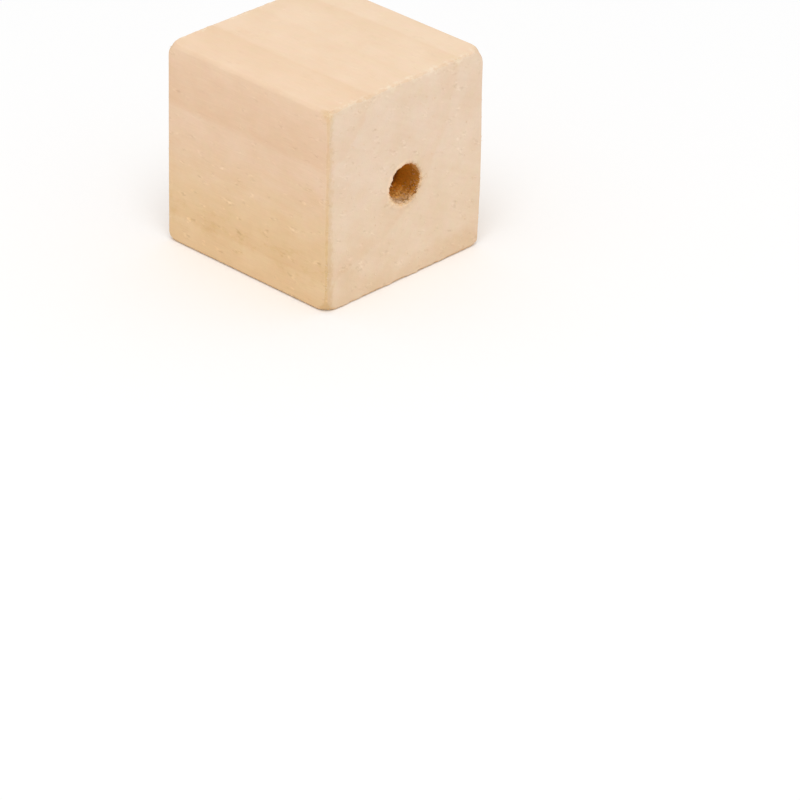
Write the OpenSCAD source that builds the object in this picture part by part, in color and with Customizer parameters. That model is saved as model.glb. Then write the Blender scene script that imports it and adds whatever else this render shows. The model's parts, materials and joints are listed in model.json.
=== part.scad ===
// Wooden cube bead, sawn from a planed stick, drilled along the grain and tumbled.
// The grain and the hole run along X. The bead stands on the plane Z = 0, centred on the origin.

/* [Block] */
// Length along the grain, between the two sawn ends
length = 20.6; // [12:0.1:60]
// Width across the grain
width = 20; // [12:0.5:60]
// Height across the grain
height = 20; // [12:0.5:60]

/* [Edges] */
// Rounding of the four long edges, which were planed on the stick
long_edge_r = 0.4; // [0.4:0.1:3]
// Rounding of the edges round each sawn end, which only the tumbling made
end_edge_r = 0.3; // [0.1:0.05:0.35]

/* [Cord hole] */
// Diameter of the hole
hole_d = 4; // [1:0.5:9]
// Broken edge at each mouth of the hole
mouth_break = 0.15; // [0.05:0.05:0.6]

/* [Finish] */
// Colour of the bare pale wood, as red, green and blue from 0 to 1
wood_colour = [0.91, 0.81, 0.69]; // [0:0.01:1]

/* [Hidden] */
$fn = 128;

// How far a cut runs past the face that it opens
past = 1;

// The flat stretch between the long edges' roundings, on the two sides and on the top and base
flat_width = width - 2 * long_edge_r;
flat_height = height - 2 * long_edge_r;

// A rectangle, centred, whose corners are rounded to radius r
module rounded_rectangle(across, up, r) {
    square([across - 2 * r, up], center = true);
    square([across, up - 2 * r], center = true);
    for (x = [-1, 1], y = [-1, 1])
        translate([x * (across / 2 - r), y * (up / 2 - r)]) circle(r);
}

// The block seen from above, with its two flat sides
module side_slab() {
    linear_extrude(flat_height, center = true)
        rounded_rectangle(length, width, end_edge_r);
}

// The block seen from the side, with its flat top and base
module top_slab() {
    rotate([90, 0, 0])
        linear_extrude(flat_width, center = true)
            rounded_rectangle(length, height, end_edge_r);
}

// One long edge as a turned rod. Its ends are rounded as the sawn ends are, which makes
// the smooth corners, where the two radii run into each other
module long_edge() {
    rotate([0, 90, 0])
        rotate_extrude()
            intersection() {
                rounded_rectangle(2 * long_edge_r, length, end_edge_r);
                translate([0, -length / 2]) square([long_edge_r, length]);
            }
}

// The block before drilling, centred on the origin
module rounded_block() {
    side_slab();
    top_slab();
    for (y = [-1, 1], z = [-1, 1])
        translate([0, y * flat_width / 2, z * flat_height / 2]) long_edge();
}

// The drilled hole, with both of its mouths broken by a small slope
module cord_hole() {
    rotate([0, 90, 0]) {
        cylinder(d = hole_d, h = length + 2 * past, center = true);
        for (end = [0, 1])
            mirror([0, 0, end])
                translate([0, 0, length / 2 - mouth_break])
                    cylinder(
                        h = mouth_break + past,
                        d1 = hole_d,
                        d2 = hole_d + 2 * (mouth_break + past)
                    );
    }
}

module cube_bead() {
    color(wood_colour)
        translate([0, 0, height / 2])
            difference() {
                rounded_block();
                cord_hole();
            }
}

cube_bead();
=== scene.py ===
"""A bare wooden cube bead, sawn from a planed stick, drilled along the grain and tumbled.

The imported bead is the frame: its box and its hole give the sizes here. The block is laid over
the frame as one closed skin by geometry nodes, which also wear its edges and tear its hole.
Fibres that the saw and the drill raised are grown on it as separate pieces.
"""

import json
import math

import bpy
from mathutils import Matrix, Vector


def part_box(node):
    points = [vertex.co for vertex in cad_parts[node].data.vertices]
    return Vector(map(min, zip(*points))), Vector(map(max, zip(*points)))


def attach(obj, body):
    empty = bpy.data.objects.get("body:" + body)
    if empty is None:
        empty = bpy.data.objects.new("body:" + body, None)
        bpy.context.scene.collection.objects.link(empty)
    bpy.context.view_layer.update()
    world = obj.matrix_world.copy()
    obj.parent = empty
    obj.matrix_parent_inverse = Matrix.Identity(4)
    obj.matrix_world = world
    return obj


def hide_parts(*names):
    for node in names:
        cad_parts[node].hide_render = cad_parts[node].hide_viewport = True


bl_info = {
    "name": "Wooden Cube Bead",
    "version": (1, 0, 0),
    "blender": (4, 5, 0),
    "location": "3D View > Sidebar > Bead",
    "description": "Makes a drilled wooden cube bead with worn edges, torn fibres and bare grain",
    "category": "Add Mesh",
}

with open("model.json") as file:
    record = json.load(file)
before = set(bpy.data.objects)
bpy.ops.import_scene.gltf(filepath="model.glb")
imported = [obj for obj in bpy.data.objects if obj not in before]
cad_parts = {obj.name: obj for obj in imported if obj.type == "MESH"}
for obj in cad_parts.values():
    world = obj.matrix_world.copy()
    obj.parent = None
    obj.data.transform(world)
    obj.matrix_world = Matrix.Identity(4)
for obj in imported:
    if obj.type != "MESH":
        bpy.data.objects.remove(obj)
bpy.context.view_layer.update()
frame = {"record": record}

MM = 0.001
NODE = "cube_bead"
BODY = "root"

LOW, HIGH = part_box(NODE)
CORD_HOLE = next(m for m in frame["record"]["mounts"] if m["name"] == "cord_hole")

# The skin's columns go round the grain: a straight stretch and a corner on each of four sides
STRAIGHT_COLUMNS = 104
CORNER_COLUMNS = 16
COLUMNS = 4 * (STRAIGHT_COLUMNS + CORNER_COLUMNS)

# The skin's rows go along the sides, over the front end, back through the hole and over the rear
SIDE_ROWS = 70
EDGE_ROWS = 10
FACE_ROWS = 45
MOUTH_ROWS = 4
BORE_ROWS = 20
ROW_STAGES = (
    SIDE_ROWS, EDGE_ROWS, FACE_ROWS, MOUTH_ROWS,
    BORE_ROWS, MOUTH_ROWS, FACE_ROWS, EDGE_ROWS,
)
ROWS = sum(ROW_STAGES)

# How far each corner is worn, as shares of the corner wear. Signs are along X, Y and Z
CORNER_SHARES = {
    (1, 1, 1): 1.35,
    (1, -1, 1): 0.9,
    (1, -1, -1): 1.1,
    (1, 1, -1): 0.3,
    (-1, -1, 1): 0.9,
    (-1, 1, 1): 0.8,
    (-1, -1, -1): 0.4,
    (-1, 1, -1): 0.7,
}

# The skin's rims are joined where they come this near to each other
SEAM_GAP = 0.001 * MM

# A raised fibre's thickness, and how many on a square metre make one on a square millimetre
FIBRE_WIDTH = 0.06 * MM
PER_SQUARE_MM = 1e6

# What the wood's colour is multiplied by in its several places
BELOW_TOP = (1.018, 1.032, 1.035, 1.0)
# Painted shade on the rounded edges along the top
ROUNDED_EDGE_SHADE = (0.97, 0.965, 0.96, 1.0)
# Darker and yellower round the top corner at +X and -Y
CORNER_TINT = (0.93, 0.9, 0.82, 1.0)
NEAR_PITH = (1.0, 0.97, 0.95, 1.0)
# Yellower low down: partly the wood's tone, partly painted warm light thrown up from below
TONE_AND_BOUNCE_BELOW = (0.955, 0.92, 0.74, 1.0)
TORN_SPOT = (0.92, 0.9, 0.78, 1.0)
# Painted contact shade at the base
CONTACT_SHADE = (0.95, 0.92, 0.86, 1.0)
# Painted highlight along the hole's rim on the -Y side
RIM_HIGHLIGHT = (1.11, 1.08, 1.03, 1.0)
# Darker round the mouth towards +Y
RIM_DARKER_PLUS_Y = (0.98, 0.965, 0.93, 1.0)
# Painted shade deep in the bore
DEEP_BORE_SHADE = (0.6, 0.55, 0.9, 1.0)
# Painted light on the lower wall of the bore
LIT_FLOOR = (1.6, 1.7, 1.6, 1.0)
# Painted shade in the gaps between torn fibres
GAP_SHADE = (0.5, 0.38, 0.22, 1.0)

# The camera's sensor in millimetres, and the side of the picture in pixels
SENSOR_WIDTH = 36.0
PICTURE_SIDE = 800

# How far the floor reaches, in metres, and where the shadow on it fades, in millimetres
FLOOR_REACH = 1.5
SHADOW_FADES = 60.0
SHADOW_GONE = 140.0
WHITE = (1.0, 1.0, 1.0, 1.0)


class Formula:
    """One socket of a node tree, which can be written in formulas."""

    def __init__(self, tree, socket):
        self.tree = tree
        self.socket = socket

    def __add__(self, other):
        return calculate("ADD", self, other)

    def __radd__(self, other):
        return calculate("ADD", other, self)

    def __sub__(self, other):
        return calculate("SUBTRACT", self, other)

    def __rsub__(self, other):
        return calculate("SUBTRACT", other, self)

    def __mul__(self, other):
        return calculate("MULTIPLY", self, other)

    def __rmul__(self, other):
        return calculate("MULTIPLY", other, self)

    def __truediv__(self, other):
        return calculate("DIVIDE", self, other)

    def __pow__(self, other):
        return calculate("POWER", self, other)

    def __neg__(self):
        return calculate("MULTIPLY", self, -1.0)

    def __abs__(self):
        return calculate("ABSOLUTE", self)


def feed(tree, socket, value):
    """Gives a node's input a formula, a number, a vector or a colour."""
    if isinstance(value, Formula):
        tree.links.new(value.socket, socket)
    else:
        socket.default_value = value


def add_node(tree, kind, settings=None, inputs=None):
    """Adds a node with its settings, and feeds its inputs by name or by number."""
    node = tree.nodes.new(kind)
    for name, value in (settings or {}).items():
        setattr(node, name, value)
    for name, value in (inputs or {}).items():
        feed(tree, node.inputs[name], value)
    return node


def add_formula(tree, kind, settings=None, inputs=None, output=0):
    """Adds a node, and gives one of its outputs as a formula."""
    node = add_node(tree, kind, settings, inputs)
    return Formula(tree, node.outputs[output])


def calculate(operation, *values, kind="ShaderNodeMath"):
    """One step of arithmetic on numbers."""
    tree = next(value.tree for value in values if isinstance(value, Formula))
    return add_formula(tree, kind, {"operation": operation}, dict(enumerate(values)))


def calculate_vector(operation, *values):
    """One step of arithmetic on vectors, which gives a vector."""
    return calculate(operation, *values, kind="ShaderNodeVectorMath")


def stretch(vector, factor):
    """A vector times a number."""
    inputs = {0: vector, "Scale": factor}
    return add_formula(vector.tree, "ShaderNodeVectorMath", {"operation": "SCALE"}, inputs)


def join(tree, x, y, z):
    """A vector from three numbers."""
    return add_formula(tree, "ShaderNodeCombineXYZ", None, {0: x, 1: y, 2: z})


def split(vector):
    """The three numbers of a vector."""
    node = add_node(vector.tree, "ShaderNodeSeparateXYZ", None, {0: vector})
    return [Formula(vector.tree, socket) for socket in node.outputs]


def distance(a, b):
    """The length of a vector given by its two parts."""
    return (a * a + b * b) ** 0.5


def ramp(value, start, end, kind="LINEAR"):
    """Rises from 0 to 1 while the value goes from start to end."""
    inputs = {0: value, 1: start, 2: end}
    return add_formula(value.tree, "ShaderNodeMapRange", {"interpolation_type": kind}, inputs)


def ease(value, start, end):
    """Rises as a ramp does, but starts and ends gently."""
    return ramp(value, start, end, "SMOOTHSTEP")


def noise(vector, scale, detail=2.0, roughness=0.5):
    """A soft random pattern round 0, mostly from -0.25 to 0.25."""
    inputs = {"Vector": vector, "Scale": scale, "Detail": detail, "Roughness": roughness}
    return add_formula(vector.tree, "ShaderNodeTexNoise", None, inputs) - 0.5


def flecks(vector, fineness, spread):
    """A fine wavy pattern, from about -1 to 1, that only shows in small scattered clumps."""
    clumps = ease(noise(vector, spread, 1.0), 0.08, 0.22)
    return noise(vector, fineness, 1.0) * 5.0 * clumps


def mix(share, first, second):
    """A colour between two others."""
    inputs = {0: share, 6: first, 7: second}
    return add_formula(share.tree, "ShaderNodeMix", {"data_type": "RGBA"}, inputs, output=2)


def tint(share, colour, factor):
    """A colour multiplied by another, as far as share says."""
    settings = {"data_type": "RGBA", "blend_type": "MULTIPLY"}
    inputs = {0: share, 6: colour, 7: factor}
    return add_formula(share.tree, "ShaderNodeMix", settings, inputs, output=2)


def linear(red, green, blue):
    """A colour given as it shows on a screen, from 0 to 255, as the shader's own numbers."""
    def one(value):
        value /= 255
        return value / 12.92 if value <= 0.04045 else ((value + 0.055) / 1.055) ** 2.4
    return (one(red), one(green), one(blue))


def opaque(colour):
    """A property's colour with full alpha, as a node's socket wants it."""
    return (*colour, 1.0)


class BeadSizes(bpy.types.PropertyGroup):
    """The block's driving sizes."""

    length: bpy.props.FloatProperty(
        name="Length", description="Length along the grain",
        default=HIGH.x - LOW.x, unit="LENGTH", subtype="DISTANCE", precision=5)
    width: bpy.props.FloatProperty(
        name="Width", description="Width across the grain",
        default=HIGH.y - LOW.y, unit="LENGTH", subtype="DISTANCE", precision=5)
    height: bpy.props.FloatProperty(
        name="Height", description="Height across the grain",
        default=HIGH.z - LOW.z, unit="LENGTH", subtype="DISTANCE", precision=5)
    long_edge_radius: bpy.props.FloatProperty(
        name="Long edge radius", description="Rounding of the four edges along the grain",
        default=0.4 * MM, unit="LENGTH", subtype="DISTANCE", precision=5)
    end_edge_radius: bpy.props.FloatProperty(
        name="End edge radius", description="Rounding of the edges round each sawn end",
        default=0.3 * MM, unit="LENGTH", subtype="DISTANCE", precision=5)
    hole_radius: bpy.props.FloatProperty(
        name="Hole radius", description="Radius of the cord hole",
        default=CORD_HOLE["dims"]["r_mm"] * MM, unit="LENGTH", subtype="DISTANCE", precision=5)
    mouth_break: bpy.props.FloatProperty(
        name="Mouth break", description="Broken edge at each mouth of the hole",
        default=0.15 * MM, unit="LENGTH", subtype="DISTANCE", precision=5)


class BeadWear(bpy.types.PropertyGroup):
    """How far the surface departs from the plain block."""

    unevenness: bpy.props.FloatProperty(
        name="Unevenness", description="Slow waves in the planed and sawn faces",
        default=0.05 * MM, unit="LENGTH", subtype="DISTANCE", precision=6)
    side_bow: bpy.props.FloatProperty(
        name="Side bow", description="How far one planed side, on +Y, bulges below its middle",
        default=0.17 * MM, unit="LENGTH", subtype="DISTANCE", precision=5)
    corner_wear: bpy.props.FloatProperty(
        name="Corner wear", description="How far a well worn corner is knocked back",
        default=0.33 * MM, unit="LENGTH", subtype="DISTANCE", precision=5)
    ragged_ends: bpy.props.FloatProperty(
        name="Ragged ends", description="Broken fibres along the edges of the sawn ends",
        default=0.3 * MM, unit="LENGTH", subtype="DISTANCE", precision=5)
    drill_drift: bpy.props.FloatProperty(
        name="Drill drift", description="How far down the drill strayed at the front end",
        default=0.33 * MM, unit="LENGTH", subtype="DISTANCE", precision=5)
    torn_hole: bpy.props.FloatProperty(
        name="Torn hole", description="Roughness of the drilled wall and its mouths",
        default=0.45 * MM, unit="LENGTH", subtype="DISTANCE", precision=5)


class WoodFinish(bpy.types.PropertyGroup):
    """The wood's rings and colours."""

    pith_y: bpy.props.FloatProperty(
        name="Pith Y", description="Middle of the growth rings, across the grain",
        default=-12.0 * MM, unit="LENGTH", subtype="DISTANCE", precision=5)
    pith_z: bpy.props.FloatProperty(
        name="Pith Z", description="Middle of the growth rings, above the base",
        default=21.5 * MM, unit="LENGTH", subtype="DISTANCE", precision=5)
    first_ring: bpy.props.FloatProperty(
        name="First ring", description="Distance from the pith to the first ring's edge",
        default=7.85 * MM, unit="LENGTH", subtype="DISTANCE", precision=5)
    ring_spacing: bpy.props.FloatProperty(
        name="Ring spacing", description="Distance from one ring's edge to the next",
        default=5.54 * MM, unit="LENGTH", subtype="DISTANCE", precision=5)
    early_wood: bpy.props.FloatVectorProperty(
        name="Early wood", description="Side grain just past a ring's edge",
        default=linear(242, 214, 184), subtype="COLOR", size=3, min=0, max=1)
    late_wood: bpy.props.FloatVectorProperty(
        name="Late wood", description="Side grain just before a ring's edge",
        default=linear(237, 206, 172), subtype="COLOR", size=3, min=0, max=1)
    end_grain: bpy.props.FloatVectorProperty(
        name="End grain", description="Sawn and sanded end grain",
        default=linear(243, 221, 196), subtype="COLOR", size=3, min=0, max=1)
    burnished: bpy.props.FloatVectorProperty(
        name="Burnished edge", description="Edges that the tumbling pressed and polished",
        default=linear(229, 200, 160), subtype="COLOR", size=3, min=0, max=1)
    bore_wood: bpy.props.FloatVectorProperty(
        name="Bore", description="Wood some way inside the drilled hole",
        default=(0.82, 0.34, 0.028), subtype="COLOR", size=3, min=0, max=1)
    bore_mouth: bpy.props.FloatVectorProperty(
        name="Bore mouth", description="Wood just inside the drilled hole",
        default=(0.53, 0.22, 0.035), subtype="COLOR", size=3, min=0, max=1)
    torn_wood: bpy.props.FloatVectorProperty(
        name="Torn wood", description="Torn fibres just inside the mouths of the hole",
        default=(0.78, 0.44, 0.15), subtype="COLOR", size=3, min=0, max=1)
    fibre: bpy.props.FloatVectorProperty(
        name="Raised fibres", description="Fibres that stand proud and catch the light",
        default=linear(248, 229, 203), subtype="COLOR", size=3, min=0, max=1)


class StageSettings(bpy.types.PropertyGroup):
    """The camera, the light and the floor."""

    azimuth: bpy.props.FloatProperty(
        name="Azimuth", description="Where the camera stands round the bead",
        default=math.radians(43.35), subtype="ANGLE")
    elevation: bpy.props.FloatProperty(
        name="Elevation", description="How steeply the camera looks down",
        default=math.radians(29.2), subtype="ANGLE")
    roll: bpy.props.FloatProperty(
        name="Roll", description="Turn of the camera about its own axis",
        default=math.radians(1.4), subtype="ANGLE")
    depth: bpy.props.FloatProperty(
        name="Depth", description="Distance along the view to the middle of the base",
        default=423.2 * MM, unit="LENGTH", subtype="DISTANCE")
    focal_length: bpy.props.FloatProperty(
        name="Focal length", description="Focal length in millimetres on a 36 mm sensor",
        default=205.9)
    base_x: bpy.props.FloatProperty(
        name="Base column", description="Where the base's middle shows, in pixels from the left",
        default=323.1)
    base_y: bpy.props.FloatProperty(
        name="Base row", description="Where the base's middle shows, in pixels from the top",
        default=241.4)
    sky_level: bpy.props.FloatProperty(
        name="Sky level", description="Light from all round",
        default=0.75)
    key_power: bpy.props.FloatProperty(
        name="Key lamp", description="Power of the soft lamp over the camera, in watts",
        default=2.5)
    floor_bounce: bpy.props.FloatVectorProperty(
        name="Floor bounce", description="Colour of the light that the floor throws back",
        default=(0.87, 0.79, 0.76), subtype="COLOR", size=3, min=0, max=1)


def new_geometry_tree(name, inputs):
    """A geometry tree with named lengths as inputs. Returns it with its inputs as formulas."""
    tree = bpy.data.node_groups.new(name, "GeometryNodeTree")
    tree.is_modifier = True
    tree.interface.new_socket("Geometry", in_out="INPUT", socket_type="NodeSocketGeometry")
    tree.interface.new_socket("Geometry", in_out="OUTPUT", socket_type="NodeSocketGeometry")
    for label in inputs:
        tree.interface.new_socket(label, in_out="INPUT", socket_type="NodeSocketFloat")
    group_input = tree.nodes.new("NodeGroupInput")
    values = {label: Formula(tree, group_input.outputs[label]) for label in inputs}
    return tree, Formula(tree, group_input.outputs["Geometry"]), values


def own(tree, field):
    """What each point of the mesh has of itself: its Position or its Normal."""
    return add_formula(tree, "GeometryNodeInput" + field)


def move(geometry, kind, value):
    """Moves a mesh's points, to a Position or by an Offset."""
    inputs = {"Geometry": geometry, kind: value}
    return add_formula(geometry.tree, "GeometryNodeSetPosition", None, inputs)


def end_geometry_tree(geometry, material):
    """Closes a tree: real mesh, smooth shading and its material."""
    tree = geometry.tree
    real = add_formula(tree, "GeometryNodeRealizeInstances", None, {0: geometry})
    smooth = add_formula(tree, "GeometryNodeSetShadeSmooth", None, {0: real})
    coloured = add_formula(
        tree, "GeometryNodeSetMaterial", None, {"Geometry": smooth, "Material": material})
    output = tree.nodes.new("NodeGroupOutput")
    feed(tree, output.inputs[0], coloured)


def add_object(name, data):
    """Puts a new object into the scene."""
    new_object = bpy.data.objects.new(name, data)
    bpy.context.scene.collection.objects.link(new_object)
    return new_object


def run_tree(name, source, tree, values):
    """Runs a tree over a mesh and keeps what it makes as a plain mesh object."""
    carrier = add_object(name + "_carrier", source)
    modifier = carrier.modifiers.new(tree.name, "NODES")
    modifier.node_group = tree
    for item in tree.interface.items_tree:
        if item.in_out == "INPUT" and item.name in values:
            modifier[item.identifier] = values[item.name]
    depsgraph = bpy.context.evaluated_depsgraph_get()
    made = bpy.data.meshes.new_from_object(carrier.evaluated_get(depsgraph))
    carrier.modifiers.remove(modifier)
    bpy.data.objects.remove(carrier)
    if not made.polygons:
        raise RuntimeError(f"{name}: its tree made no faces")
    made.name = name
    return add_object(name, made)


def declare(piece):
    """Tells the frame which body the piece rides on."""
    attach(piece, BODY)


def stages(progress, counts):
    """Splits a count of steps into stages, each of which rises from 0 to 1 in its turn."""
    start = 0
    rises = []
    for count in counts:
        rises.append(ramp(progress, float(start), float(start + count)))
        start += count
    return rises


def section_outline(column, size, inset):
    """The block's rounded section at each column, inset from the full size. Gives y and z."""
    half_width = size["Width"] * 0.5 - size["Long edge radius"]
    half_height = size["Height"] * 0.5 - size["Long edge radius"]
    up, turn_1, back, turn_2, down, turn_3, forth, turn_4 = stages(
        column, (STRAIGHT_COLUMNS, CORNER_COLUMNS) * 4)
    base_y = half_width * (1.0 - 2.0 * back + 2.0 * forth)
    base_z = half_height * (-1.0 + 2.0 * up - 2.0 * down)
    angle = (turn_1 + turn_2 + turn_3 + turn_4) * (math.pi / 2)
    radius = size["Long edge radius"] - inset
    y = base_y + radius * calculate("COSINE", angle)
    z = base_z + radius * calculate("SINE", angle)
    return y, z


def skin_position(column, row, size):
    """Where each point of the closed skin lies on the plain drilled block."""
    half_length = size["Length"] * 0.5
    edge = size["End edge radius"]
    mouth = size["Mouth break"]
    side, front_edge, front, front_mouth, bore, rear_mouth, rear, rear_edge = stages(
        row, ROW_STAGES)
    front_angle = front_edge * (math.pi / 2)
    rear_angle = rear_edge * (math.pi / 2)
    x = (
        edge - half_length
        + 2.0 * (half_length - edge) * side
        + edge * calculate("SINE", front_angle)
        - mouth * front_mouth
        - 2.0 * (half_length - mouth) * bore
        - mouth * rear_mouth
        + edge * (1.0 - calculate("COSINE", rear_angle))
    )
    inset = edge * (
        1.0 - calculate("COSINE", front_angle) - calculate("SINE", rear_angle)
    )
    y, z = section_outline(column, size, inset)
    from_axis = distance(y, z)
    radius = size["Hole radius"] + mouth * (1.0 - front_mouth + rear_mouth)
    towards_hole = front - rear
    shrink = 1.0 + towards_hole * (radius / from_axis - 1.0)
    stray = size["Drill drift"] * towards_hole * x / half_length
    return join(column.tree, x, y * shrink, z * shrink + size["Height"] * 0.5 - stray)


def block_lengths():
    """The block's sizes and its wear, each by its name in the panel."""
    scene = bpy.context.scene
    return {
        setting.name: getattr(group, setting.identifier)
        for group in (scene.bead_sizes, scene.bead_wear)
        for setting in group.bl_rna.properties if setting.type == "FLOAT"}


def knocked_corners(position, size):
    """The offset that wears each corner back along the diagonal through it."""
    tree = position.tree
    x, y, z = split(position)
    z = z - size["Height"] * 0.5
    tip = (
        (size["Length"] + size["Width"] + size["Height"]) * (0.5 / math.sqrt(3))
        - size["Long edge radius"] * (math.sqrt(3) - 1.0)
    )
    total = join(tree, 0.0, 0.0, 0.0)
    for signs, share in CORNER_SHARES.items():
        diagonal = Vector(signs).normalized()
        reach = x * diagonal.x + y * diagonal.y + z * diagonal.z
        beyond = reach - tip + size["Corner wear"] * share
        excess = calculate("SMOOTH_MAX", beyond, 0.0, size["Corner wear"] * 1.2)
        total = calculate_vector("ADD", total, stretch(join(tree, *(-diagonal)), excess))
    return total


def from_hole_axis(position, size):
    """How far a place is from the middle of the hole, which drifts a little."""
    x, y, z = split(position)
    stray = size["Drill drift"] * x / (size["Length"] * 0.5)
    return distance(y, z - size["Height"] * 0.5 + stray)


def chips(position, slope, size):
    """Chips in the edges of the sawn ends, most of all along the top and the base."""
    x, y, z = split(position)
    half_height = size["Height"] * 0.5
    hole_radius = size["Hole radius"]
    end_edge = ease(slope, 0.15, 0.5) * ease(slope, 0.999, 0.9)
    outside = ramp(from_hole_axis(position, size), hole_radius * 1.3, hole_radius * 1.6)
    top_or_base = ramp(abs(z - half_height), half_height - 1.2 * MM, half_height - 0.5 * MM)
    front_upright = ramp(x, 0.0, 1.0 * MM) * ramp(y, 0.0, -1.0 * MM)
    loose = calculate("MAXIMUM", top_or_base, front_upright * 0.8)
    loose = loose * ramp(x, -20.0 * MM, 0.0)
    bites = noise(position, 1700.0, 3.0, 0.6) + noise(position, 500.0) * 1.2
    return bites * size["Ragged ends"] * end_edge * outside * loose


def tears(position, size):
    """Tears in the wall of the hole, deepest near its mouths."""
    x, y, z = split(position)
    half_length = size["Length"] * 0.5
    hole_radius = size["Hole radius"]
    from_axis = from_hole_axis(position, size)
    near_hole = ease(from_axis, hole_radius + 0.4 * MM, hole_radius + 0.05 * MM)
    near_mouth = ease(abs(x), half_length - 1.6 * MM, half_length - 0.4 * MM)
    across = join(position.tree, x * 0.35, y, z)
    furrows = noise(across, 2600.0, 3.0, 0.65) * (0.6 + 0.7 * near_mouth)
    furrows = furrows + noise(across, 450.0) * 0.4
    return (furrows + 0.2) * size["Torn hole"] * near_hole


def bulge(position, size):
    """The bow of the planed side on +Y, which is fullest in its lower half."""
    _, y, z = split(position)
    below_shoulder = ease(z, size["Height"] * 0.85, size["Height"] * 0.45)
    above_foot = ease(z, 0.0, size["Height"] * 0.3)
    bow = size["Side bow"] * (below_shoulder * above_foot) * ramp(y, 0.0, size["Width"] * 0.5)
    return join(position.tree, 0.0, bow, 0.0)


def worn_surface(position, normal, size):
    """The offset that wears the plain block: uneven faces, ragged ends and a torn hole."""
    slope = abs(split(normal)[0])
    waves = (noise(position, 160.0) - 0.25) * size["Unevenness"]
    offset = stretch(normal, waves + chips(position, slope, size) + tears(position, size))
    return calculate_vector("ADD", offset, bulge(position, size))


def block_tree(material):
    """Geometry nodes that make the drilled block and wear its surface."""
    tree, _, size = new_geometry_tree("Drilled block", block_lengths())
    skin = add_formula(tree, "GeometryNodeMeshGrid", None, {
        "Size X": float(COLUMNS), "Size Y": float(ROWS),
        "Vertices X": COLUMNS + 1, "Vertices Y": ROWS + 1}, output="Mesh")
    place = own(tree, "Position")
    column, row, _ = split(place)
    block = move(skin, "Position", skin_position(column + COLUMNS / 2, row + ROWS / 2, size))
    block = add_formula(
        tree, "GeometryNodeMergeByDistance", None, {"Geometry": block, "Distance": SEAM_GAP})
    block = move(block, "Offset", knocked_corners(place, size))
    block = move(block, "Offset", worn_surface(place, own(tree, "Normal"), size))
    x, y, z = split(place)
    block = move(block, "Position", join(tree, x, y, calculate("MAXIMUM", z, 0.0)))
    end_geometry_tree(block, material)
    return tree


def block_in_mm():
    """The block's sizes in millimetres, as the patterns on it need them."""
    return {name: length / MM for name, length in block_lengths().items()}


def point_in_mm(tree):
    """Where a point of a piece lies, in millimetres, and its normal."""
    coordinates = tree.nodes.new("ShaderNodeTexCoord")
    place = stretch(Formula(tree, coordinates.outputs["Object"]), 1 / MM)
    return place, Formula(tree, coordinates.outputs["Normal"])


def new_material(name):
    """A new material, with its tree and its plain shader."""
    material = bpy.data.materials.new(name)
    material.use_nodes = True
    tree = material.node_tree
    return material, tree, tree.nodes["Principled BSDF"]


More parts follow.
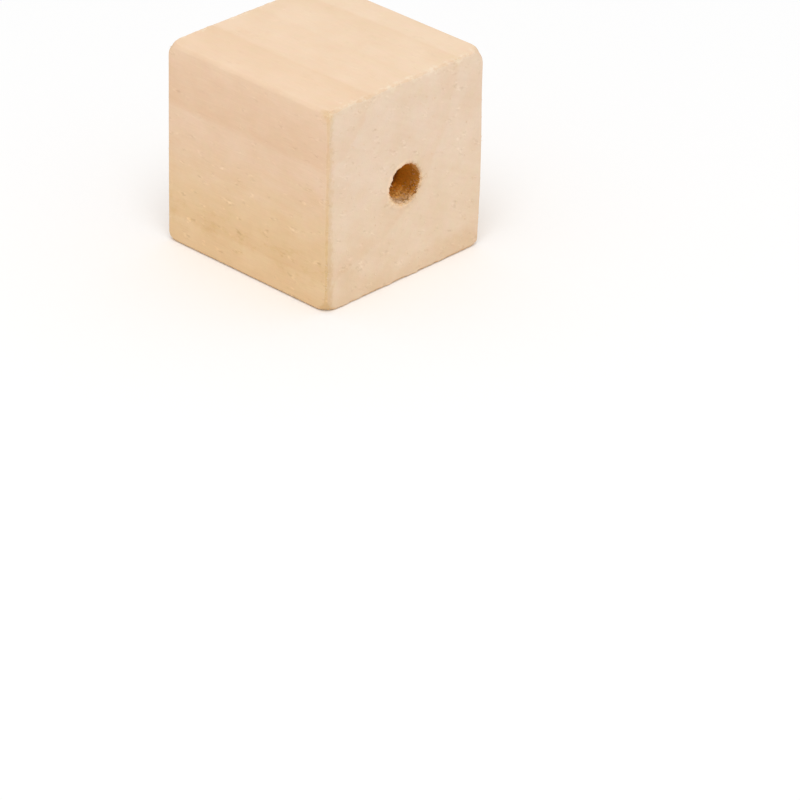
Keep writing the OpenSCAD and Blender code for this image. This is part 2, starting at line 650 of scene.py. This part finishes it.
class Wood:
    """The wood's patterns and colours, from where a point lies in the block, in millimetres."""

    def __init__(self, tree, finish):
        size = block_in_mm()
        self.tree = tree
        self.finish = finish
        self.place, normal = point_in_mm(tree)
        self.x, self.y, self.z = split(self.place)
        normal_x, _, self.normal_z = split(normal)
        self.slope = abs(normal_x)
        self.half_length = size["Length"] / 2
        self.half_width = size["Width"] / 2
        self.height = size["Height"]
        self.hole_radius = size["Hole radius"]
        self.depth = self.half_length - abs(self.x)
        self.from_axis = from_hole_axis(self.place, size)
        self.above_axis = self.z - self.height / 2
        self.from_pith = distance(self.y - finish.pith_y / MM, self.z - finish.pith_z / MM)
        self.end_share = ease(self.slope, 0.82, 0.97)
        self.on_side = 1.0 - self.end_share
        self.on_top = ramp(self.normal_z, 0.3, 0.9)
        self.draw_grain()
        self.mark_places()

    def drawn_out(self, share, scale, detail=2.0, roughness=0.5):
        """A pattern drawn out along the grain, where a step counts only for a share."""
        place = join(self.tree, self.x * share, self.y, self.z)
        return noise(place, scale, detail, roughness)

    def draw_grain(self):
        """The patterns that the colour and the bumps share."""
        # Along the fibres: threads, blotches, short flecks, fine pores and the drilled wall
        self.threads = self.drawn_out(0.15, 3.0, 3.0, 0.6)
        self.blotches = self.drawn_out(0.45, 0.7, 4.0, 0.62)
        rising = self.z + self.x * 0.05
        self.side_flecks = flecks(join(self.tree, self.x * 0.45, self.y, rising), 3.4, 1.3)
        side_pores = self.drawn_out(0.05, 9.0, 2.0, 0.6) * self.on_side * (1.0 - 0.7 * self.on_top)
        self.pores = side_pores + self.drawn_out(0.3, 8.0, 2.0, 0.6) * self.end_share * 0.6
        self.wall = self.drawn_out(0.5, 4.0, 4.0, 0.65)

        # Across the fibres: speckle and patches, and slanting saw marks and flecks on the ends
        self.speckle = noise(self.place, 2.2, 4.0, 0.66)
        self.patches = noise(self.place, 0.32)
        slant = math.radians(26)
        over = self.y * math.sin(slant) + self.z * math.cos(slant)
        beyond = self.y * math.cos(slant) - self.z * math.sin(slant)
        self.saw = noise(join(self.tree, over * 2.6, beyond * 0.3, self.x), 1.0, 3.0, 0.6)
        self.end_flecks = flecks(join(self.tree, self.x, over, beyond * 0.55), 3.2, 1.3)

    def mark_places(self):
        """Where the wood is low down, torn on its side on -Y, and inside the hole, from 0 to 1."""
        self.low_down = ease(self.z - self.x * 0.08 + self.blotches * 6.0, 14.0, 4.5)
        band = ease(abs(self.z - 3.6 + self.blotches * 3.0), 2.4, 0.6)
        near_side = ramp(self.y, 1.0 - self.half_width, 0.2 - self.half_width)
        spots = ease(self.drawn_out(0.6, 1.3, 3.0, 0.6), -0.02, 0.16)
        self.torn_spots = band * near_side * spots
        crisp = ramp(self.y - self.above_axis, 2.4, 2.8) * 0.06
        past_mouth = ease(self.depth + self.wall * 0.3 + crisp, 0.12, 0.22)
        near_wall = ramp(self.from_axis, self.hole_radius + 0.9, self.hole_radius + 0.7)
        self.in_bore = past_mouth * near_wall

    def rings(self):
        """Growth rings: each starts pale and darkens outwards, some more than others."""
        wander = self.drawn_out(0.06, 0.2) * 1.6 + self.drawn_out(0.06, 1.2) * 0.7
        past_first = self.from_pith + wander - self.finish.first_ring / MM
        count = past_first / (self.finish.ring_spacing / MM)
        year = calculate("FRACT", count)
        whole_years = calculate("FLOOR", count)
        alternate = calculate("COSINE", whole_years * math.pi)
        shade = (year ** 1.6) * ease(year, 1.0, 0.9) * (0.65 - 0.3 * alternate)
        return shade * (1.0 - 0.2 * self.on_top)

    def bare(self):
        """Side grain with its rings, and end grain on which they hardly show."""
        rings = self.rings()
        late_wood = opaque(self.finish.late_wood)
        side_shade = rings - self.threads * 0.2 - self.blotches * (0.4 - 0.17 * self.on_top)
        side = mix(side_shade, opaque(self.finish.early_wood), late_wood)
        end_shade = rings * 0.35 - 0.2 * self.saw - 0.35 * self.patches
        end = mix(end_shade, opaque(self.finish.end_grain), late_wood)
        return mix(self.end_share, side, end)

    def wear_edges(self, colour):
        """Burnished uprights on the -Y side; upper end edges pale from fibres and a painted
        highlight.
        """
        lower_part = ramp(self.z, 9.0, 4.5)
        towards_side = -self.y + self.speckle * 1.6 + 0.25 * lower_part
        near_side = ease(towards_side, self.half_width - 0.85, self.half_width - 0.2)
        below_top = ramp(self.z, self.height - 0.1, self.height - 0.5)
        burnish = near_side * ease(self.slope, 0.1, 0.5) * below_top
        burnish = burnish * (0.6 + 0.12 * lower_part)
        colour = mix(burnish, colour, opaque(self.finish.burnished))
        # Pale along the upper end edges: partly raised fibres, partly a painted highlight where
        # the edge faces the light
        from_edge = calculate("MAXIMUM", self.depth, self.height - self.z)
        from_edge = from_edge + self.speckle + noise(self.place, 0.8) * 2.4
        tufts = ease(noise(self.place, 2.0, 2.0, 0.6), -0.1, 0.14)
        frayed_and_highlit = tufts * ease(from_edge, 0.6, 0.1)
        return mix(frayed_and_highlit * 0.75, colour, opaque(self.finish.fibre))

    def handle(self, colour):
        """Paler wood below the top, painted shade on its edges, a darker corner at +X and -Y."""
        below_top = ease(self.z, self.height - 2.2, self.height - 0.9) * (1.0 - self.on_top)
        colour = tint(below_top, colour, BELOW_TOP)
        # Painted shade: the rounded edges along the top are darkened where they turn from the top
        rounded = ramp(self.normal_z, 0.98, 0.88) * ramp(self.normal_z, 0.3, 0.55)
        colour = tint(rounded, colour, ROUNDED_EDGE_SHADE)
        # Darker and yellower round the top corner at +X and -Y, where the surface turns from the
        # top
        from_upright = distance(self.half_length - self.x, self.y + self.half_width)
        from_corner = distance(from_upright, self.height - self.z)
        near_corner = ease(from_corner + self.speckle * 1.2, 1.4, 0.5)
        return tint(near_corner * ramp(self.normal_z, 0.97, 0.8), colour, CORNER_TINT)

    def tone_and_base_shade(self, colour):
        """Redder near the pith; low down yellower, partly painted bounce, and torn on -Y; painted
        base shade.
        """
        near_pith = ramp(self.from_pith, 16.0, 4.0) * self.on_side
        colour = tint(near_pith, colour, NEAR_PITH)
        # Yellower and darker low down: partly the wood's tone, partly painted warm bounce light
        # from below
        tone_and_bounce = self.low_down * (0.85 - 0.6 * self.end_share)
        colour = tint(tone_and_bounce, colour, TONE_AND_BOUNCE_BELOW)
        colour = tint(self.torn_spots * 0.55, colour, TORN_SPOT)
        # Painted contact shade: darker at the very base, where the bead rests
        contact_shade = ease(self.z + self.patches * 5.0, 3.4, 1.2) * (0.5 + 0.5 * self.end_share)
        return tint(contact_shade * 0.8, colour, CONTACT_SHADE)

    def grain(self, colour):
        """Fine grain changes all colours alike, and broad patches change the blue most."""
        fleck_depth = 0.12 - 0.09 * self.on_top
        fine = (
            self.speckle * (0.07 - 0.04 * self.on_top)
            + self.threads * 0.05 * self.on_side
            + self.saw * 0.07 * self.end_share
            + self.pores * 0.1
            + self.side_flecks * self.on_side * fleck_depth * (1.0 + self.low_down * 0.5)
            + self.end_flecks * 0.1 * self.end_share
        )
        broad = self.blotches * (0.06 - 0.03 * self.on_top) * self.on_side + self.patches * 0.13
        rosy = self.drawn_out(0.7, 1.0, 3.0, 0.6)
        elsewhere = join(self.tree, self.x * 0.7, self.y + 31.0, self.z)
        cool = noise(elsewhere, 1.0, 3.0, 0.6)
        factors = join(
            self.tree,
            1.0 + 0.86 * fine + 0.6 * broad + 0.05 * rosy,
            1.0 + fine + broad - 0.05 * rosy,
            1.0 + 1.2 * fine + 1.6 * broad + 0.1 * cool,
        )
        return calculate_vector("MULTIPLY", colour, factors)

    def bore(self):
        """Brown drilled wall, pale torn wood at the mouth and lower lip, with painted light and
        shade.
        """
        depth, wall, above_axis = self.depth, self.wall, self.above_axis
        colour = mix(
            ease(depth, 0.3, 2.6), opaque(self.finish.bore_mouth), opaque(self.finish.bore_wood))
        # Painted shade: the wall is darkened deep in the bore
        colour = tint(ramp(depth, 2.6, 2.9), colour, DEEP_BORE_SHADE)
        lower_lip = ramp(above_axis + self.y * 0.7, -0.6, -1.4)
        upper_lip = ramp(above_axis, -0.1, 0.3) * 0.6
        crumbs = ease(noise(self.place, 3.4, 2.0, 0.6), -0.06, 0.08)
        torn_mouth = ease(depth - upper_lip - above_axis * 0.08 + wall * 0.8, 0.4, 0.08) * 0.7
        torn_lip = ease(depth + wall * 2.0, 3.4, 0.9) * lower_lip * (0.5 + 0.5 * crumbs)
        torn = calculate("MAXIMUM", torn_mouth, torn_lip)
        colour = mix(torn, colour, opaque(self.finish.torn_wood))
        splintered = ramp(depth + self.y * 0.9 + wall * 2.0, 1.6, 0.5) * lower_lip
        colour = mix(splintered * 0.6, colour, opaque(self.finish.fibre))
        # Painted light on the lower wall of the bore, brightest on its crumbs
        lit_floor = ramp(above_axis + wall * 0.3, -1.55, -1.78) * ramp(depth, 0.9, 1.3)
        colour = tint(lit_floor * (0.2 + 0.8 * crumbs), colour, LIT_FLOOR)
        # Painted shade in the gaps between torn fibres on the lower lip
        gap_shade = ease(noise(self.place, 2.6, 2.0, 0.6), -0.04, 0.12) * ramp(above_axis, -0.5, -1.2)
        return tint(gap_shade * ramp(depth, 2.0, 0.3), colour, GAP_SHADE)

    def drill(self, colour):
        """The mouth's rim, a painted highlight on one side and darker on the other; the drilled
        wall.
        """
        radius = self.hole_radius
        # Painted highlight: a pale band just outside the rim, on the -Y side
        rim = ease(self.from_axis + self.speckle * 0.3, radius + 0.5, radius + 0.2)
        colour = tint(rim * ramp(self.y, 1.0, -0.8), colour, RIM_HIGHLIGHT)
        # Darker round the mouth towards +Y, on the sawn end
        rim_darkening = ease(self.from_axis, radius + 1.3, radius + 0.3) * ramp(self.y, -1.5, 1.5)
        colour = tint(rim_darkening * self.end_share, colour, RIM_DARKER_PLUS_Y)
        return mix(self.in_bore, colour, self.bore())

    def colour(self):
        """The wood's colour: bare wood, and what each step changes in it."""
        colour = self.bare()
        for step in (self.wear_edges, self.handle, self.tone_and_base_shade, self.grain, self.drill):
            colour = step(colour)
        return colour

    def bumps(self):
        """How high the surface stands."""
        return (
            self.threads * 0.4 * self.on_side
            + self.speckle * 0.5
            + self.pores * 0.6
            + self.wall * self.in_bore * 2.0
            - self.torn_spots * 0.6
            + self.side_flecks * self.on_side
            + self.end_flecks * self.end_share
            + self.saw * self.end_share * 0.25
        )

    def roughness(self):
        """How dull the surface is."""
        return 0.62 + self.threads * 0.2 + self.end_share * 0.12 + self.in_bore * 0.15


def wood_material(finish):
    """Bare pale wood with growth rings, end grain on the sawn ends and a rough bore."""
    material, tree, shader = new_material("Bare pale wood")
    wood = Wood(tree, finish)
    bump = add_formula(tree, "ShaderNodeBump", None, {
        "Strength": 0.35, "Distance": 0.05 * MM, "Height": wood.bumps()})
    feed(tree, shader.inputs["Base Color"], wood.colour())
    feed(tree, shader.inputs["Roughness"], wood.roughness())
    feed(tree, shader.inputs["Specular IOR Level"], 0.19 * (1.0 - wood.in_bore))
    feed(tree, shader.inputs["Normal"], bump)
    return material


def fibre_material(finish):
    """Loose pale fibres, each a little lighter or darker than the next, and brown in the hole."""
    material, tree, shader = new_material("Raised fibres")
    place, _ = point_in_mm(tree)
    size = block_in_mm()
    change = ramp(noise(place, 3.0), -0.25, 0.25)
    outer = mix(change, opaque(finish.fibre), opaque(finish.end_grain))
    inner = mix(change, opaque(finish.torn_wood), opaque(finish.bore_wood))
    inside = ramp(from_hole_axis(place, size), size["Hole radius"], size["Hole radius"] - 0.25)
    feed(tree, shader.inputs["Base Color"], mix(inside, outer, inner))
    feed(tree, shader.inputs["Roughness"], 0.7 + noise(place, 5.0) * 0.2)
    feed(tree, shader.inputs["Specular IOR Level"], 0.05)
    return material


def random_value(tree, kind, inputs):
    """A different number or vector for each point."""
    node = add_node(tree, "FunctionNodeRandomValue", {"data_type": kind}, inputs)
    value = next(socket for socket in node.outputs if socket.enabled)
    return Formula(tree, value)


def random_number(tree, low, high, seed):
    """A different number for each point."""
    return random_value(tree, "FLOAT", {"Min": low, "Max": high, "Seed": seed})


def random_vector(tree, reach, seed):
    """A different vector for each point, with no part beyond the reach."""
    inputs = {0: (-reach,) * 3, 1: (reach,) * 3, "Seed": seed}
    return random_value(tree, "FLOAT_VECTOR", inputs)


def sliver(tree):
    """One fibre of unit length along Z: a bent five-sided spike."""
    cone = add_formula(tree, "GeometryNodeMeshCone", None, {
        "Vertices": 5, "Side Segments": 3, "Radius Top": 0.0, "Radius Bottom": 0.5,
        "Depth": 1.0}, output="Mesh")
    _, _, z = split(own(tree, "Position"))
    return move(cone, "Offset", join(tree, z * z * 2.0, 0.0, 0.0))


def fibre_tree(name, material, region, lean, seed):
    """Geometry nodes that grow fibres on a mesh. region says how thickly they stand at a place,
    from 0 to 1, and lean gives the direction that they point in."""
    tree, geometry, size = new_geometry_tree(name, (
        "Length", "Height", "Hole radius", "Drill drift", "Fibres per square millimetre",
        "Shortest fibre", "Longest fibre", "Fibre width"))
    place = own(tree, "Position")
    above_base = ramp(split(place)[2], 0.5 * MM, 0.8 * MM)
    thickly = region(place, own(tree, "Normal"), size) * above_base
    spread = add_node(tree, "GeometryNodeDistributePointsOnFaces", None, {
        "Mesh": geometry, "Seed": seed,
        "Density": thickly * size["Fibres per square millimetre"] * PER_SQUARE_MM})
    chance = random_vector(tree, 1.0, seed + 1)
    direction = lean(place, Formula(tree, spread.outputs["Normal"]), chance)
    turned = add_formula(
        tree, "FunctionNodeAlignRotationToVector", {"axis": "Z"}, {"Vector": direction})
    length = random_number(tree, size["Shortest fibre"], size["Longest fibre"], seed + 2)
    girth = size["Fibre width"] * random_number(tree, 0.5, 1.3, seed + 3)
    grown = add_formula(tree, "GeometryNodeInstanceOnPoints", None, {
        "Points": Formula(tree, spread.outputs["Points"]),
        "Instance": sliver(tree),
        "Rotation": turned,
        "Scale": join(tree, girth, girth, length)})
    end_geometry_tree(grown, material)
    return tree


def grow_fibres(name, region, lean, seed, per_square_mm, longest, shortest=0.1 * MM):
    """Makes one piece of fibres on the finished block."""
    block = bpy.data.objects["Block"]
    tree = fibre_tree(name, bpy.data.materials["Raised fibres"], region, lean, seed)
    piece = run_tree(name, block.data, tree, {
        **block_lengths(), "Fibres per square millimetre": per_square_mm,
        "Shortest fibre": shortest, "Longest fibre": longest, "Fibre width": FIBRE_WIDTH})
    declare(piece)


def rim_region(place, normal, size):
    """The mouths of the hole and the first stretch of its wall."""
    x, _, z = split(place)
    half_length = size["Length"] * 0.5
    middle = size["Height"] * 0.5
    from_axis = from_hole_axis(place, size)
    near = ramp(from_axis, size["Hole radius"] + 0.22 * MM, size["Hole radius"] + 0.1 * MM)
    mouth = ramp(abs(x), half_length - 2.5 * MM, half_length - 0.2 * MM)
    lower = ramp(z, middle + 1.0 * MM, middle - 1.5 * MM)
    return near * mouth * mouth * (0.1 + 0.9 * lower * lower)


def rim_lean(place, normal, chance):
    """Out of the hole and in over its mouth."""
    x, _, _ = split(place)
    outwards = join(place.tree, calculate("SIGN", x), 0.0, 0.0)
    total = calculate_vector("ADD", stretch(outwards, 0.75), stretch(normal, 0.5))
    return calculate_vector("ADD", total, stretch(chance, 0.7))


def edge_region(place, normal, size):
    """The edges round the sawn ends."""
    slope = abs(split(normal)[0])
    from_axis = from_hole_axis(place, size)
    outside = ramp(from_axis, size["Hole radius"] * 1.5, size["Hole radius"] * 1.6)
    return ramp(slope, 0.2, 0.5) * ramp(slope, 0.98, 0.9) * outside


def flat_lean(place, normal, chance):
    """Almost flat on the surface, in any direction."""
    across = calculate_vector("CROSS_PRODUCT", normal, chance)
    return calculate_vector("ADD", across, stretch(normal, 0.05))


def end_region(place, normal, size):
    """The flat sawn ends, outside the hole."""
    slope = abs(split(normal)[0])
    from_axis = from_hole_axis(place, size)
    outside = ramp(from_axis, size["Hole radius"] + 0.2 * MM, size["Hole radius"] + 0.3 * MM)
    clumps = ramp(noise(place, 600.0), -0.05, 0.25)
    return ramp(slope, 0.97, 0.99) * outside * (0.15 + 0.85 * clumps)


class BEAD_OT_block(bpy.types.Operator):
    """Makes the drilled block"""

    bl_idname = "bead.block"
    bl_label = "Drilled block"

    def execute(self, context):
        wood = wood_material(context.scene.bead_finish)
        fibre_material(context.scene.bead_finish)
        empty = bpy.data.meshes.new("Block_start")
        piece = run_tree("Block", empty, block_tree(wood), block_lengths())
        bpy.data.meshes.remove(empty)
        declare(piece)
        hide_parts(NODE)
        return {"FINISHED"}


class BEAD_OT_torn_mouths(bpy.types.Operator):
    """Grows the fibres that the drill tore at both mouths of the hole"""

    bl_idname = "bead.torn_mouths"
    bl_label = "Torn mouths"

    def execute(self, context):
        grow_fibres(
            "Torn_mouths", rim_region, rim_lean, seed=11, per_square_mm=24.0, longest=0.32 * MM)
        return {"FINISHED"}


class BEAD_OT_edge_splinters(bpy.types.Operator):
    """Grows the short splinters along the edges of the sawn ends"""

    bl_idname = "bead.edge_splinters"
    bl_label = "Edge splinters"

    def execute(self, context):
        grow_fibres(
            "Edge_splinters", edge_region, flat_lean, seed=23, per_square_mm=4.0,
            longest=0.3 * MM, shortest=0.12 * MM)
        return {"FINISHED"}


class BEAD_OT_end_fuzz(bpy.types.Operator):
    """Grows the fine fuzz that sanding leaves on the sawn ends"""

    bl_idname = "bead.end_fuzz"
    bl_label = "End grain fuzz"

    def execute(self, context):
        grow_fibres(
            "End_grain_fuzz", end_region, flat_lean, seed=37, per_square_mm=1.6, longest=0.3 * MM)
        return {"FINISHED"}


def towards(azimuth, elevation):
    """The direction from the bead to where a camera or a lamp stands."""
    return Vector((
        math.sin(azimuth) * math.cos(elevation),
        -math.cos(azimuth) * math.cos(elevation),
        math.sin(elevation)))


def camera_pose(stage):
    """The camera's place and turn, so that the base's middle shows where it should."""
    back = towards(stage.azimuth, stage.elevation)
    level_right = Vector((0, 0, 1)).cross(back).normalized()
    level_up = back.cross(level_right)
    right = math.cos(stage.roll) * level_right + math.sin(stage.roll) * level_up
    up = math.cos(stage.roll) * level_up - math.sin(stage.roll) * level_right
    turn = Matrix((right, up, back)).transposed()
    pixels = stage.focal_length / SENSOR_WIDTH * PICTURE_SIDE
    aside = (stage.base_x - PICTURE_SIDE / 2) / pixels * stage.depth
    below = (stage.base_y - PICTURE_SIDE / 2) / pixels * stage.depth
    place = back * stage.depth - right * aside + up * below
    return Matrix.Translation(place) @ turn.to_4x4()


def add_camera(stage):
    """Puts the camera in its place and gives it its lens."""
    data = bpy.data.cameras.new("Camera")
    data.sensor_width = SENSOR_WIDTH
    data.lens = stage.focal_length
    data.clip_start = 0.01
    data.clip_end = 10.0
    camera = add_object("Camera", data)
    camera.matrix_world = camera_pose(stage)
    bpy.context.scene.camera = camera


def add_lamp(name, power, side, azimuth, elevation, away):
    """A soft square lamp that looks at the bead."""
    data = bpy.data.lights.new(name, "AREA")
    data.energy = power
    data.size = side
    lamp = add_object(name, data)
    back = towards(azimuth, elevation)
    lamp.location = back * away
    lamp.rotation_euler = back.to_track_quat("Z", "Y").to_euler()


def sees_white(tree):
    """1 for what the camera sees, also by a reflection or through glass, and 0 for other light."""
    rays = tree.nodes.new("ShaderNodeLightPath")
    seen = Formula(tree, rays.outputs["Is Camera Ray"])
    for kind in ("Is Glossy Ray", "Is Transmission Ray"):
        seen = calculate("MAXIMUM", seen, Formula(tree, rays.outputs[kind]))
    return seen


def blend_shaders(share, first, second):
    """A shader between two others."""
    return add_formula(share.tree, "ShaderNodeMixShader", None, {0: share, 1: first, 2: second})


def floor_material(stage):
    """White where the camera sees it, with the bead's shadow; a pale wood colour to the bead."""
    material, tree, shader = new_material("Pale floor")
    tree.nodes.remove(shader)
    seen = add_formula(tree, "ShaderNodeBsdfDiffuse", None, {"Color": WHITE})
    bounce = add_formula(
        tree, "ShaderNodeBsdfDiffuse", None, {"Color": opaque(stage.floor_bounce)})
    white = add_formula(tree, "ShaderNodeEmission", None, {"Color": WHITE, "Strength": 1.0})
    x, y, _ = split(point_in_mm(tree)[0])
    near_or_far = blend_shaders(ease(distance(x, y), SHADOW_FADES, SHADOW_GONE), seen, white)
    both = blend_shaders(sees_white(tree), bounce, near_or_far)
    feed(tree, tree.nodes["Material Output"].inputs["Surface"], both)
    return material


def add_floor(stage):
    """A wide flat floor under the bead."""
    mesh = bpy.data.meshes.new("Floor")
    corners = [
        (side_x * FLOOR_REACH, side_y * FLOOR_REACH, 0)
        for side_x, side_y in ((-1, -1), (1, -1), (1, 1), (-1, 1))]
    mesh.from_pydata(corners, [], [(0, 1, 2, 3)])
    mesh.materials.append(floor_material(stage))
    add_object("Floor", mesh)


def add_sky(stage):
    """Even light from all round, which the camera sees as white."""
    world = bpy.data.worlds.new("Studio")
    world.use_nodes = True
    bpy.context.scene.world = world
    tree = world.node_tree
    background = tree.nodes["Background"]
    feed(tree, background.inputs["Color"], WHITE)
    seen = sees_white(tree)
    feed(tree, background.inputs["Strength"], stage.sky_level + seen * (1.0 - stage.sky_level))


class BEAD_OT_stage(bpy.types.Operator):
    """Sets up the floor, the light and the camera"""

    bl_idname = "bead.stage"
    bl_label = "Stage"

    def execute(self, context):
        stage = context.scene.bead_stage
        add_camera(stage)
        add_floor(stage)
        add_sky(stage)
        add_lamp(
            "Key", stage.key_power, side=0.5,
            azimuth=stage.azimuth, elevation=math.radians(65), away=0.9)
        context.scene.view_settings.view_transform = "Standard"
        return {"FINISHED"}


class BEAD_PT_panel(bpy.types.Panel):
    """The bead's sizes and steps"""

    bl_label = "Wooden Cube Bead"
    bl_idname = "BEAD_PT_panel"
    bl_space_type = "VIEW_3D"
    bl_region_type = "UI"
    bl_category = "Bead"

    def draw(self, context):
        for group in SETTINGS:
            box = self.layout.box()
            settings = getattr(context.scene, group)
            for name in settings.bl_rna.properties.keys():
                if name not in ("rna_type", "name"):
                    box.prop(settings, name)
        for step in STEPS:
            self.layout.operator(step.bl_idname)


SETTINGS = {
    "bead_sizes": BeadSizes,
    "bead_wear": BeadWear,
    "bead_finish": WoodFinish,
    "bead_stage": StageSettings,
}
STEPS = (
    BEAD_OT_block, BEAD_OT_torn_mouths, BEAD_OT_edge_splinters, BEAD_OT_end_fuzz,
    BEAD_OT_stage,
)


def register():
    """Adds the settings, the steps and the panel."""
    for group in SETTINGS.values():
        bpy.utils.register_class(group)
    for step in STEPS:
        bpy.utils.register_class(step)
    bpy.utils.register_class(BEAD_PT_panel)
    for name, group in SETTINGS.items():
        setattr(bpy.types.Scene, name, bpy.props.PointerProperty(type=group))


def unregister():
    """Takes away what register has added."""
    for name in SETTINGS:
        delattr(bpy.types.Scene, name)
    bpy.utils.unregister_class(BEAD_PT_panel)
    for step in reversed(STEPS):
        bpy.utils.unregister_class(step)
    for group in reversed(SETTINGS.values()):
        bpy.utils.unregister_class(group)


def main():
    """Makes the bead and its stage."""
    register()
    bpy.ops.bead.block()
    bpy.ops.bead.torn_mouths()
    bpy.ops.bead.edge_splinters()
    bpy.ops.bead.end_fuzz()
    bpy.ops.bead.stage()


if __name__ == "__main__":
    main()
